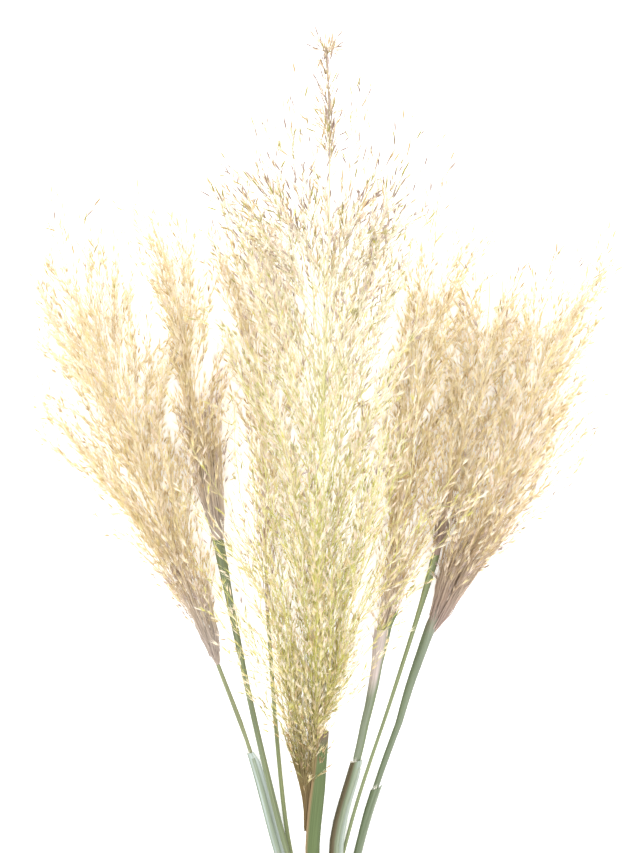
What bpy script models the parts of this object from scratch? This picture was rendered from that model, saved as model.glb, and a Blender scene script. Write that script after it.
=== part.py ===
"""A bundle of seven cut, dried pampas grass stalks lying on a flat surface.

The stalks run along Y, cut ends toward -Y and plume tips toward +Y, and rest on Z = 0.
Each stalk is a culm (stem), a plume (the whole flower head, grown as one piece) and its
leaf sheaths. Every piece is lofted through cross-sections parallel to XZ.
"""

import math

import bmesh
import bpy

MM = 0.001

# Driving dimensions, in metres.
STATION_STEP = 18 * MM  # spacing of the cross-sections
CLEARANCE = 0.35 * MM  # left between pieces that touch
SHEATH_WALL = 0.8 * MM
CULM_SIDES = 10
SHEATH_ARC_POINTS = 12
SHEATH_SLIT = math.radians(8)  # half angle of the slit in a closed sheath
SHEATH_SLIT_DIRECTION = math.radians(90)  # upward
PLUME_SIDES = 20
PLUME_FLATTENING = 1.5  # how soon the underside of a plume reaches its lowest height

# Heights in the table below, in its millimetres.
FLOOR = 0
LOWER_TOP = 54.8  # top of the plumes that lie on the surface
UPPER_BOTTOM = 55.2  # underside of the centre plume, which lies on them

# Colours of the dried grass, as linear RGB, and how rough each surface is.
CULM_GREEN = (0.33, 0.36, 0.17)
CULM_ROUGHNESS = 0.55
SHEATH_GREEN = (0.30, 0.33, 0.18)
SHEATH_ROUGHNESS = 0.6
PLUME_ROUGHNESS = 0.9

# One entry for each stalk, in millimetres.
#   line: (y, x, z) points of the stalk's own axis, from the cut end to the plume's tip.
#   culm: (y, radius) points; the last one is the foot of the plume.
#   lower_sheath: (y, inner radius) points of the closed leaf sheath.
#   flag_sheath: (y, inner radius, half angle of the opening, direction of the opening).
#   plume: (y, reach to the left, reach to the right, underside z, top z) points.
#   colour: the plume's colour, as linear RGB.
STALKS = {
    "left_front": {
        "colour": (0.85, 0.73, 0.49),
        "line": [
            (-584, -19.4, 6), (-490, -19.4, 6), (-430, -29, 6.6), (-372, -44.2, 8),
            (-297, -64.2, 12), (-226, -89.2, 20), (-107, -135.1, 27), (6, -172.4, 26),
            (105, -199.5, 25), (180, -226, 24),
        ],
        "culm": [(-584, 4.6), (-330, 3.7), (-216, 2.7)],
        "lower_sheath": [(-556, 4.95), (-372, 4.5), (-306, 4.1)],
        "plume": [
            (-216, 3, 3, 17.7, 23.7), (-190, 9, 8, 9, 32), (-150, 18, 20, FLOOR, 46),
            (-107, 22, 36, FLOOR, 53), (-48, 32, 48, FLOOR, LOWER_TOP), (24, 46, 58, FLOOR, LOWER_TOP),
            (73, 56, 60, FLOOR, 53), (110, 48, 60, FLOOR, 50),
            (150, 30, 42, FLOOR, 42), (182, 4, 5, 17, 29),
        ],
    },
    "left_back": {
        "colour": (0.75, 0.66, 0.47),
        "line": [
            (-590, -11.8, 14.8), (-490, -11.8, 14.8), (-430, -20, 15.8), (-354, -39.2, 18),
            (-248, -63.6, 22), (-98, -93, 27), (-12, -110, 27), (69, -122.7, 27),
            (132, -137.5, 25), (194, -157, 24),
        ],
        "culm": [(-590, 3.9), (-354, 3.6), (-102, 2.9)],
        "lower_sheath": [(-560, 4.25), (-402, 4.0)],
        "plume": [
            (-102, 3.2, 3.2, 23.5, 30.5), (-80, 10, 9, 10, 42), (-40, 22, 18, FLOOR, 52),
            (10, 28, 24, FLOOR, LOWER_TOP), (70, 36, 32, FLOOR, LOWER_TOP), (130, 34, 36, FLOOR, 51),
            (165, 22, 26, FLOOR, 43), (194, 4, 4, 17, 29),
        ],
    },
    "back": {
        "colour": (0.83, 0.74, 0.55),
        "line": [
            (-600, -8, 5), (-490, -8, 5), (-430, -17, 6), (-379, -29.5, 8),
            (-292, -39, 12), (-176, -47.4, 18), (-48, -56.2, 26), (42, -63.4, 27),
            (124, -69.9, 25), (200, -75.5, 24),
        ],
        "culm": [(-600, 3.6), (-430, 2.7), (-170, 2.2)],
        "lower_sheath": [(-562, 3.95), (-410, 3.05)],
        "plume": [
            (-170, 2.5, 2.5, 15.5, 21.5), (-148, 9, 9, 6, 32), (-105, 22, 22, FLOOR, 48),
            (-40, 30, 34, FLOOR, LOWER_TOP), (42, 32, 46, FLOOR, LOWER_TOP),
            (124, 30, 42, FLOOR, LOWER_TOP),
            (165, 22, 26, FLOOR, 48), (200, 4, 4, 18, 30),
        ],
    },
    "centre": {
        "colour": (0.84, 0.75, 0.53),
        "line": [
            (-596, 0, 13.2), (-490, 0, 13.2), (-430, -4.2, 19.5), (-386, -7.2, 26),
            (-297, -1.8, 42), (-150, 2.6, 72), (-45, 5.9, 92), (81, 5.9, 97),
            (217, 5.1, 92), (343, 4.3, 76),
        ],
        "culm": [(-596, 4.8), (-365, 4.1)],
        "lower_sheath": [(-552, 5.15), (-404, 4.95)],
        "flag_sheath": [
            (-398, 4.5, 10, 172), (-376, 4.8, 26, 172), (-352, 6.6, 62, 172),
            (-330, 7.4, 76, 172), (-304, 7.0, 88, 172), (-284, 5.6, 112, 172), (-270, 4.2, 128, 172),
        ],
        "plume": [
            (-365, 3.2, 3.2, 26.5, 33), (-348, 9, 4, 28.5, 38), (-330, 16, 5, 29.5, 42.5),
            (-304, 25, 4.2, 35.5, 49.5), (-290, 29, 3.2, 36.5, 54), (-270, 35, 2.4, 38, 61),
            (-240, 45, 26, 40, 86), (-194, 55, 41, 46, 104),
            (-149, 62, 54, 52, 122), (-105, 73, 72, UPPER_BOTTOM, 138),
            (-62, 90, 78, UPPER_BOTTOM, 150),
            (22, 95, 90, UPPER_BOTTOM, 163), (81, 94, 96, UPPER_BOTTOM, 165),
            (149, 89, 92, UPPER_BOTTOM, 152),
            (191, 79, 84, UPPER_BOTTOM, 136), (216, 62, 58, 56, 124), (240, 36, 40, 60, 110),
            (275, 22, 27, 66, 98), (310, 14, 13, 68, 90), (343, 3, 3, 73, 79),
        ],
    },
    "right_inner": {
        "colour": (0.84, 0.72, 0.50),
        "line": [
            (-588, 12.2, 15), (-490, 12.2, 15), (-430, 15.5, 16.4), (-377, 19.5, 18),
            (-301, 34.5, 20), (-216, 51.7, 24), (-120, 72, 27), (-21, 89.9, 27),
            (87, 104.4, 26), (198, 118, 24),
        ],
        "culm": [(-588, 3.5), (-330, 3.1), (-228, 2.8)],
        "lower_sheath": [(-558, 4.6), (-344, 4.55), (-324, 5.0)],
        "flag_sheath": [
            (-348, 3.45, 9, 60), (-240, 3.6, 12, 60), (-216, 4.2, 50, 60),
            (-196, 4.6, 84, 60), (-180, 4.4, 118, 60),
        ],
        "plume": [
            (-228, 2.6, 2.6, 20.7, 26), (-204, 3.2, 3.2, 21.6, 28), (-180, 3.4, 3.4, 22.6, 29),
            (-150, 12, 9, 12, 42), (-107, 24, 17, FLOOR, 50), (-48, 36, 22, FLOOR, LOWER_TOP),
            (30, 46, 30, FLOOR, LOWER_TOP), (100, 44, 34, FLOOR, LOWER_TOP),
            (150, 34, 30, FLOOR, 48), (198, 4, 4, 18, 30),
        ],
    },
    "right_back": {
        "colour": (0.82, 0.68, 0.45),
        "line": [
            (-594, 8, 5), (-490, 8, 5), (-430, 13.8, 5.8), (-362, 29.5, 8),
            (-328, 39.5, 9.5), (-250, 65, 14), (-112, 106.2, 22), (-30, 124.9, 26),
            (51, 139.4, 26), (134, 153.5, 24),
        ],
        "culm": [(-594, 3.6), (-430, 2.7), (-116, 2.3)],
        "lower_sheath": [(-560, 3.95), (-432, 3.05)],
        "plume": [
            (-116, 2.4, 2.4, 19.4, 24.2), (-94, 8, 8, 8, 34), (-50, 15, 22, FLOOR, 48),
            (20, 20, 30, FLOOR, 52), (70, 22, 32, FLOOR, 50),
            (105, 16, 22, FLOOR, 42), (134, 4, 4, 18, 29),
        ],
    },
    "right_front": {
        "colour": (0.83, 0.70, 0.49),
        "line": [
            (-580, 19.9, 6), (-490, 19.9, 6), (-430, 27, 6.6), (-367, 41, 8),
            (-334, 50.5, 10), (-249, 80.2, 18), (-186, 105.1, 24), (-93, 142.3, 28),
            (15, 186, 27), (96, 222, 26), (158, 254, 24),
        ],
        "culm": [(-580, 3.8), (-350, 3.3), (-189, 2.9)],
        "lower_sheath": [(-554, 4.9), (-380, 4.8), (-352, 5.2)],
        "flag_sheath": [
            (-378, 3.65, 9, 110), (-200, 3.9, 12, 110), (-178, 4.4, 80, 110), (-162, 4.4, 122, 110),
        ],
        "plume": [
            (-189, 2.6, 2.6, 21.3, 26.5), (-162, 3.2, 3.2, 22.2, 28.6), (-142, 10, 9, 12, 42),
            (-100, 24, 26, FLOOR, 52), (-50, 36, 34, FLOOR, LOWER_TOP), (15, 50, 32, FLOOR, LOWER_TOP),
            (60, 56, 26, FLOOR, 53), (100, 58, 20, FLOOR, 47),
            (132, 44, 14, 4, 38), (158, 3, 3, 20, 28),
        ],
    },
}

# Plumes side by side on the surface, and the share of the space between their axes that the
# left one takes.
NEIGHBOURS = [
    ("left_front", "left_back", 0.60),
    ("left_back", "back", 0.52),
    ("back", "right_inner", 0.50),
    ("right_inner", "right_back", 0.53),
    ("right_back", "right_front", 0.44),
]


def smooth_value(points, column, y):
    """Value of a column at y, on a monotone cubic through the points, in the points' units."""
    if y <= points[0][0]:
        return points[0][column]
    if y >= points[-1][0]:
        return points[-1][column]
    slopes = [
        (after[column] - before[column]) / (after[0] - before[0])
        for before, after in zip(points, points[1:])
    ]
    index = max(i for i in range(len(slopes)) if points[i][0] <= y)
    tangents = [tangent_at(slopes, index), tangent_at(slopes, index + 1)]
    span = points[index + 1][0] - points[index][0]
    t = (y - points[index][0]) / span
    start = points[index][column]
    end = points[index + 1][column]
    return (
        start * (1 + 2 * t) * (1 - t) ** 2
        + end * t * t * (3 - 2 * t)
        + span * tangents[0] * t * (1 - t) ** 2
        - span * tangents[1] * t * t * (1 - t)
    )


def tangent_at(slopes, index):
    """Tangent at a point: the harmonic mean of the slopes beside it, flat at a turn."""
    if index == 0:
        return slopes[0]
    if index == len(slopes):
        return slopes[-1]
    before = slopes[index - 1]
    after = slopes[index]
    if before * after <= 0:
        return 0
    return 2 * before * after / (before + after)


def table_value(stalk, part, column, y):
    """An entry of a stalk's part at y, in the table's own units."""
    return smooth_value(STALKS[stalk][part], column, y / MM)


def length_at(stalk, part, column, y):
    """A size or place of a stalk's part at y, in metres."""
    return table_value(stalk, part, column, y) * MM


def axis_at(stalk, y):
    """The stalk's axis at y, as (x, z)."""
    return length_at(stalk, "line", 1, y), length_at(stalk, "line", 2, y)


def lean_at(stalk, y):
    """How much wider a round stalk is along X in a section at y, because it leans."""
    step = STATION_STEP / 2
    run = axis_at(stalk, y + step)[0] - axis_at(stalk, y - step)[0]
    return math.hypot(1, run / (2 * step))


def stations(points):
    """The heights along Y of the sections of a part: its ends and the shared steps between."""
    start = points[0][0] * MM
    end = points[-1][0] * MM
    first = math.floor(start / STATION_STEP) + 1
    last = math.ceil(end / STATION_STEP) - 1
    shared = [index * STATION_STEP for index in range(first, last + 1)]
    margin = STATION_STEP / 4
    inner = [y for y in shared if start + margin < y < end - margin]
    return [start] + inner + [end]


def dry_material(name, colour, roughness):
    """A dry plant surface of one colour."""
    material = bpy.data.materials.new(name)
    material.use_nodes = True
    shader = material.node_tree.nodes["Principled BSDF"]
    shader.inputs["Base Color"].default_value = (*colour, 1)
    shader.inputs["Roughness"].default_value = roughness
    shader.inputs["Metallic"].default_value = 0
    return material


def loft(name, rings, colour, roughness):
    """A closed solid through rings of equal length, with flat ends and its own material."""
    mesh = bpy.data.meshes.new(name)
    bm = bmesh.new()
    loops = [[bm.verts.new(point) for point in ring] for ring in rings]
    for below, above in zip(loops, loops[1:]):
        count = len(below)
        for side in range(count):
            after = (side + 1) % count
            bm.faces.new((below[side], below[after], above[after], above[side]))
    bm.faces.new(loops[0][::-1])
    bm.faces.new(loops[-1])
    bmesh.ops.recalc_face_normals(bm, faces=bm.faces)
    bm.to_mesh(mesh)
    bm.free()
    mesh.shade_smooth()
    mesh.set_sharp_from_angle(angle=math.radians(40))
    mesh.materials.append(dry_material(name, colour, roughness))
    piece = bpy.data.objects.new(name, mesh)
    bpy.context.scene.collection.objects.link(piece)
    return piece


def culm(stalk):
    """The stem: a round, slightly tapered rod from the cut end to the foot of the plume."""
    rings = []
    levels = stations(STALKS[stalk]["culm"])
    levels[-1] -= CLEARANCE
    for y in levels:
        x, z = axis_at(stalk, y)
        radius = length_at(stalk, "culm", 1, y)
        lean = lean_at(stalk, y)
        ring = []
        for side in range(CULM_SIDES):
            angle = math.tau * side / CULM_SIDES
            ring.append((x + lean * radius * math.cos(angle), y, z + radius * math.sin(angle)))
        rings.append(ring)
    return loft("culm_" + stalk, rings, CULM_GREEN, CULM_ROUGHNESS)


def sheath_ring(stalk, y, inner, opening, direction):
    """Section of a rolled leaf: an arc with a wall, open toward one direction."""
    x, z = axis_at(stalk, y)
    lean = lean_at(stalk, y)
    sweep = math.tau - 2 * opening
    angles = [
        direction + opening + sweep * step / (SHEATH_ARC_POINTS - 1)
        for step in range(SHEATH_ARC_POINTS)
    ]
    facet = math.cos(sweep / (SHEATH_ARC_POINTS - 1) / 2)
    inside = inner / facet
    outside = inside + SHEATH_WALL
    outer_arc = [(x + lean * outside * math.cos(a), y, z + outside * math.sin(a)) for a in angles]
    inner_arc = [(x + lean * inside * math.cos(a), y, z + inside * math.sin(a)) for a in angles]
    return outer_arc + inner_arc[::-1]


def lower_sheath(stalk):
    """The leaf sheath that wraps the lower stem, with the narrow slit where it overlaps."""
    rings = []
    for y in stations(STALKS[stalk]["lower_sheath"]):
        inner = length_at(stalk, "lower_sheath", 1, y)
        rings.append(sheath_ring(stalk, y, inner, SHEATH_SLIT, SHEATH_SLIT_DIRECTION))
    return loft("lower_sheath_" + stalk, rings, SHEATH_GREEN, SHEATH_ROUGHNESS)


def flag_sheath(stalk):
    """The uppermost leaf sheath, which opens into a scoop where the plume comes out."""
    rings = []
    for y in stations(STALKS[stalk]["flag_sheath"]):
        inner = length_at(stalk, "flag_sheath", 1, y)
        opening = math.radians(table_value(stalk, "flag_sheath", 2, y))
        direction = math.radians(table_value(stalk, "flag_sheath", 3, y))
        rings.append(sheath_ring(stalk, y, inner, opening, direction))
    return loft("flag_sheath_" + stalk, rings, SHEATH_GREEN, SHEATH_ROUGHNESS)


def side_limits(stalk, y):
    """How far left and right a plume on the surface may reach at y."""
    left_limit = -math.inf
    right_limit = math.inf
    for left, right, share in NEIGHBOURS:
        border = (1 - share) * axis_at(left, y)[0] + share * axis_at(right, y)[0]
        if stalk == left:
            right_limit = border - CLEARANCE / 2
        if stalk == right:
            left_limit = border + CLEARANCE / 2
    return left_limit, right_limit


def plume_ring(stalk, y):
    """Section of a plume: rounded above and at the sides, flattened below."""
    x, z = axis_at(stalk, y)
    left, right, bottom, top = [length_at(stalk, "plume", column, y) for column in (1, 2, 3, 4)]
    left_limit, right_limit = side_limits(stalk, y)
    middle = x + (right - left) / 2
    reach = (right + left) / 2
    ring = []
    for side in range(PLUME_SIDES):
        angle = math.tau * side / PLUME_SIDES
        across = math.cos(angle)
        up = math.sin(angle)
        px = min(max(middle + reach * across, left_limit), right_limit)
        if up >= 0:
            pz = z + (top - z) * up
        else:
            pz = max(z + (z - bottom) * PLUME_FLATTENING * up, bottom)
        ring.append((px, y, pz))
    return ring


def plume(stalk):
    """The whole flower head, as the solid that its branches and hair fill."""
    rings = [plume_ring(stalk, y) for y in stations(STALKS[stalk]["plume"])]
    return loft("plume_" + stalk, rings, STALKS[stalk]["colour"], PLUME_ROUGHNESS)


def build():
    """All stalks of the bundle."""
    pieces = []
    for stalk, parts in STALKS.items():
        pieces.append(culm(stalk))
        pieces.append(lower_sheath(stalk))
        if "flag_sheath" in parts:
            pieces.append(flag_sheath(stalk))
        pieces.append(plume(stalk))
    return pieces


def centre_on_origin(pieces):
    """Moves the bundle so that the origin is at the bottom centre of its box."""
    corners = [piece.matrix_world @ vertex.co for piece in pieces for vertex in piece.data.vertices]
    middle_x = (min(c.x for c in corners) + max(c.x for c in corners)) / 2
    middle_y = (min(c.y for c in corners) + max(c.y for c in corners)) / 2
    lowest = min(c.z for c in corners)
    for piece in pieces:
        piece.location = (-middle_x, -middle_y, -lowest)


for old in list(bpy.data.objects):
    bpy.data.objects.remove(old)
centre_on_origin(build())
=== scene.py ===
import math

import bmesh
import bpy
import numpy
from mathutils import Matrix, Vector


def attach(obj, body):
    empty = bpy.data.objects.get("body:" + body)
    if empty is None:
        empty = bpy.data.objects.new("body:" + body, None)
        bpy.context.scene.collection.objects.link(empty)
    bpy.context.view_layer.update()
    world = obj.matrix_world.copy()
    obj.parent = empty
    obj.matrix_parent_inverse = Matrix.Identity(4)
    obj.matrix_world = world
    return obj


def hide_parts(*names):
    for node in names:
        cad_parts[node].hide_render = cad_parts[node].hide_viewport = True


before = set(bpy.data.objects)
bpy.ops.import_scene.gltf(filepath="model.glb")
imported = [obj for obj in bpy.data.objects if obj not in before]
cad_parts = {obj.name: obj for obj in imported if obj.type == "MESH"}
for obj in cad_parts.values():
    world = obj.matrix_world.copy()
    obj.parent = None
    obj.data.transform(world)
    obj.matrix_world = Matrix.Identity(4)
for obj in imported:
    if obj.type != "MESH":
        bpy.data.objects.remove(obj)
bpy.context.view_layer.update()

# ----------------------------------------------------------------------------------------------
# The surface the bunch lies on is smooth white card, well past the bunch on every side. The
# light is that of a small white studio: one large soft sheet overhead and pale walls all round,
# with painted light from the card's own glow beneath.
# The camera looks straight down from a metre up.

MM = 0.001


def shade(hex_colour):
    """An sRGB hex colour as linear RGBA."""
    parts = [int(hex_colour[i:i + 2], 16) / 255 for i in (1, 3, 5)]
    return (*[p / 12.92 if p <= 0.04045 else ((p + 0.055) / 1.055) ** 2.4 for p in parts], 1)


def add_node(tree, kind, inputs=None, **settings):
    """A node with its settings, and each input set to a value or linked to an output."""
    node = tree.nodes.new(kind)
    for name, value in settings.items():
        setattr(node, name, value)
    for name, value in (inputs or {}).items():
        if isinstance(value, bpy.types.NodeSocket):
            tree.links.new(value, node.inputs[name])
        else:
            node.inputs[name].default_value = value
    return node


def new_material(name):
    """An empty material and its node tree."""
    material = bpy.data.materials.new(name)
    material.use_nodes = True
    material.node_tree.nodes.clear()
    return material, material.node_tree


CARD_SIZE = 6.0
LIGHT_HEIGHT = 1.7
LIGHT_SIZE = 2.4
LIGHT_POWER = 39.0
WALL_BRIGHTNESS = 1.1
# the card's own glow: painted light in place of a lamp beneath it
CARD_GLOW = 0.4
CAMERA_HEIGHT = 990 * MM
CAMERA_X = -4 * MM
CAMERA_Y = 128.5 * MM

bpy.ops.object.select_all(action="DESELECT")
bpy.ops.mesh.primitive_plane_add(size=CARD_SIZE)
card = bpy.context.object
card.name = "card"
# White card, matt, with the faintest unevenness of its pulp. Its glow is painted light, as of a light
# table under it though no lamp is there, so that it stays white and shadowless under the plumes and
# shines through them.
card_material, tree = new_material("white card")
pulp = add_node(tree, "ShaderNodeTexNoise", {"Scale": 60.0, "Detail": 3.0})
card_colour = add_node(tree, "ShaderNodeValToRGB", {"Fac": pulp.outputs["Fac"]})
card_colour.color_ramp.elements[0].color = shade("#F9F9F8")
card_colour.color_ramp.elements[1].color = shade("#FDFDFD")
card_surface = add_node(tree, "ShaderNodeBsdfPrincipled",
                        {"Base Color": card_colour.outputs["Color"], "Roughness": 0.95,
                         "Specular IOR Level": 0.2, "Emission Color": shade("#FFFFFF"),
                         "Emission Strength": CARD_GLOW})
add_node(tree, "ShaderNodeOutputMaterial", {"Surface": card_surface.outputs["BSDF"]})
card.data.materials.append(card_material)

bpy.ops.object.light_add(type="AREA", location=(0, 0, LIGHT_HEIGHT))
lamp = bpy.context.object
lamp.name = "soft_light"
lamp.data.shape = "SQUARE"
lamp.data.size = LIGHT_SIZE
lamp.data.energy = LIGHT_POWER
lamp.data.color = shade("#FFFDF8")[:3]

walls = bpy.data.worlds.new("studio walls")
bpy.context.scene.world = walls
walls.use_nodes = True
walls.node_tree.nodes["Background"].inputs["Color"].default_value = shade("#FFFFFF")
walls.node_tree.nodes["Background"].inputs["Strength"].default_value = WALL_BRIGHTNESS

bpy.ops.object.camera_add(location=(CAMERA_X, CAMERA_Y, CAMERA_HEIGHT), rotation=(0, 0, 0))
camera = bpy.context.object
camera.name = "camera"
camera.data.lens = 45
camera.data.sensor_width = 36
bpy.context.scene.camera = camera
bpy.context.scene.view_settings.view_transform = "Standard"

# ----------------------------------------------------------------------------------------------
# The culms are the stems: round, slightly ribbed canes of grass, solid with pale pith, still
# partly green. Each runs from its clean cut end up to the foot of its plume, and has one
# knuckle, a slight ring, near the cut end.

STALKS = ("left_front", "left_back", "back", "centre", "right_inner", "right_back", "right_front")
CULM_SIDES = 14
FEWEST_CORNERS = 6  # that a circle is fitted to
PITH_RIM = 0.9 * MM
PITH_DEPTH = 0.5 * MM
RIBS_ROUND, RIB_LENGTH = 26, 60 * MM
STREAKS_ROUND, STREAK_LENGTH = 4, 90 * MM
KNUCKLE_AT = 14 * MM  # above the cut end
# A stem is a little thinner in radius where its lower sheath wraps it, from a little below that
# sheath's CAD node to a little above it.
SHRUNK_FREE, FREE_BELOW, FREE_ABOVE = 0.6 * MM, 6 * MM, 22 * MM
# The knuckle's profile: millimetres along the stem and share of its thickness.
KNUCKLE_SHAPE = ((-2.5, 1.0), (-1.2, 1.07), (0.0, 1.13), (1.0, 1.05), (2.2, 0.97), (4.0, 1.0))
CULM_TONES = {"left_front": "#7C8262", "left_back": "#6B7557", "back": "#747D56",
              "centre": "#7B8458", "right_inner": "#7C8466", "right_back": "#76805C",
              "right_front": "#767F68"}
# Most of the dried stalks have shrunk, and two swell where their plumes were wrapped: rows of
# height in millimetres and share of the CAD thickness.
THICKNESS = {"left_front": ((0, 0.7),), "back": ((0, 0.8),), "centre": ((0, 1.0),),
             "right_inner": ((0, 0.88),), "right_front": ((-150, 0.64), (-62, 1.0)),
             "left_back": ((-100, 0.78), (-27, 1.1), (-2, 1.5), (20, 1.75)),
             "right_back": ((-150, 0.64), (-70, 0.82), (-40, 0.95), (-20, 1.25), (2, 1.6))}
# Two stalks bend out a little later than their CAD nodes: rows of height and millimetres left.
LATER_BENDS = {"right_front": ((-140, 0), (-119, 2.4), (-99, 4.1), (-78, 5.2), (-60, 6.6)),
               "right_inner": ((-330, 0), (-290, 4), (-250, 6), (-225, 5.2), (-190, 1.6),
                               (-170, 0))}


def cad_levels(name):
    """The x and z of a CAD node's corners at each of its heights."""
    levels = {}
    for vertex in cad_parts[name].data.vertices:
        levels.setdefault(round(vertex.co.y, 4), []).append((vertex.co.x, vertex.co.z))
    return levels


def cross_sections(name):
    """(y, x, z, radius) of the circle that best fits each cross-section of a CAD node, with its
    stalk's own thickness and bend."""
    levels = cad_levels(name)
    stalk = next(stalk for stalk in sorted(STALKS, key=len, reverse=True) if name.endswith(stalk))
    thick_at, shares = numpy.array(THICKNESS[stalk]).T
    bend_at, bends = numpy.array(LATER_BENDS.get(stalk, ((0, 0),))).T
    rows = []
    for y in sorted(levels):
        points = numpy.array(levels[y])
        if len(points) < FEWEST_CORNERS:
            continue
        middle = points.mean(axis=0)
        p = points - middle
        sums = numpy.linalg.lstsq(numpy.column_stack([2 * p, numpy.ones(len(p))]),
                                  (p ** 2).sum(axis=1), rcond=None)[0]
        radius = math.sqrt(max(sums[2] + sums[0] ** 2 + sums[1] ** 2, 0))
        radius *= numpy.interp(y / MM, thick_at, shares)
        bend = numpy.interp(y / MM, bend_at, bends) * MM
        rows.append((y, middle[0] + sums[0] - bend, middle[1] + sums[1], radius))
    return numpy.array(rows)


def at(rows, y):
    """A row of a table at height y, between its own rows."""
    return [numpy.interp(y, rows[:, 0], rows[:, k]) for k in range(1, rows.shape[1])]


def finish_piece(piece, name, material, replaced, angle=40):
    piece.name = piece.data.name = name
    piece.data.materials.clear()
    piece.data.materials.append(material)
    bpy.ops.object.select_all(action="DESELECT")
    piece.select_set(True)
    bpy.context.view_layer.objects.active = piece
    bpy.ops.object.transform_apply(location=True, rotation=True, scale=True)
    bpy.ops.object.shade_smooth_by_angle(angle=math.radians(angle))
    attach(piece, "root")
    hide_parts(replaced)


def grass_cane(name, base, length):
    """Green grass cane, dried standing: a waxy skin with fine ribs along it, about a millimetre
    apart, paler and yellower in long streaks. The skin gives a soft, low sheen."""
    material, tree = new_material(name)
    skin = add_node(tree, "ShaderNodeUVMap", uv_map="OFBake")
    rib_map = add_node(tree, "ShaderNodeMapping", {
        "Vector": skin.outputs["UV"], "Scale": (RIBS_ROUND, length / RIB_LENGTH, 1)})
    rib = add_node(tree, "ShaderNodeTexNoise", {
        "Vector": rib_map.outputs["Vector"], "Scale": 1.0, "Detail": 3.0, "Roughness": 0.6})
    streak_map = add_node(tree, "ShaderNodeMapping", {
        "Vector": skin.outputs["UV"], "Scale": (STREAKS_ROUND, length / STREAK_LENGTH, 1)})
    streak = add_node(tree, "ShaderNodeTexNoise", {
        "Vector": streak_map.outputs["Vector"], "Scale": 1.0, "Detail": 2.0})
    red, green, blue, _ = shade(base)
    dark = (*[c * 0.7 for c in (red, green, blue)], 1)
    pale = (*[min(c * 1.25, 1) for c in (red, green, blue)], 1)
    yellow = (min(red * 1.3, 1), min(green * 1.2, 1), blue * 1.05, 1)
    ribbed = add_node(tree, "ShaderNodeValToRGB", {"Fac": rib.outputs["Fac"]})
    ribbed.color_ramp.elements[0].position = 0.36
    ribbed.color_ramp.elements[0].color = dark
    ribbed.color_ramp.elements[1].position = 0.62
    ribbed.color_ramp.elements[1].color = pale
    share = add_node(tree, "ShaderNodeMapRange", {
        "Value": streak.outputs["Fac"], "From Min": 0.48, "From Max": 0.72, "To Max": 0.7})
    mixed = add_node(tree, "ShaderNodeMix", data_type="RGBA", inputs={
        0: share.outputs["Result"], 6: ribbed.outputs["Color"], 7: yellow})
    bump = add_node(tree, "ShaderNodeBump", {
        "Height": rib.outputs["Fac"], "Strength": 0.35, "Distance": 0.3 * MM})
    surface = add_node(tree, "ShaderNodeBsdfPrincipled", {
        "Base Color": mixed.outputs[2], "Roughness": 0.5, "IOR": 1.45,
        "Normal": bump.outputs["Normal"]})
    add_node(tree, "ShaderNodeOutputMaterial", {"Surface": surface.outputs["BSDF"]})
    return material


def skin_map(piece, rows):
    """The piece's own map: around the stem across it, and from its foot to its end along it.
    Its seam runs underneath."""
    mesh = piece.data
    while mesh.uv_layers:
        mesh.uv_layers.remove(mesh.uv_layers[0])
    layer = mesh.uv_layers.new(name="OFBake")
    low, high = rows[0, 0], rows[-1, 0]
    for polygon in mesh.polygons:
        arounds = []
        for index in polygon.vertices:
            point = mesh.vertices[index].co
            x, z, _ = at(rows, point.y)
            arounds.append((math.atan2(point.z - z, point.x - x) / math.tau + 0.25) % 1)
        wrap = max(arounds) - min(arounds) > 0.5
        for loop, around in zip(polygon.loop_indices, arounds):
            around += 1.0 if wrap and around < 0.5 else 0.0
            point = mesh.vertices[mesh.loops[loop].vertex_index].co
            layer.data[loop].uv = (0.02 + 0.88 * around,
                                   0.01 + 0.98 * (point.y - low) / (high - low))


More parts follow.
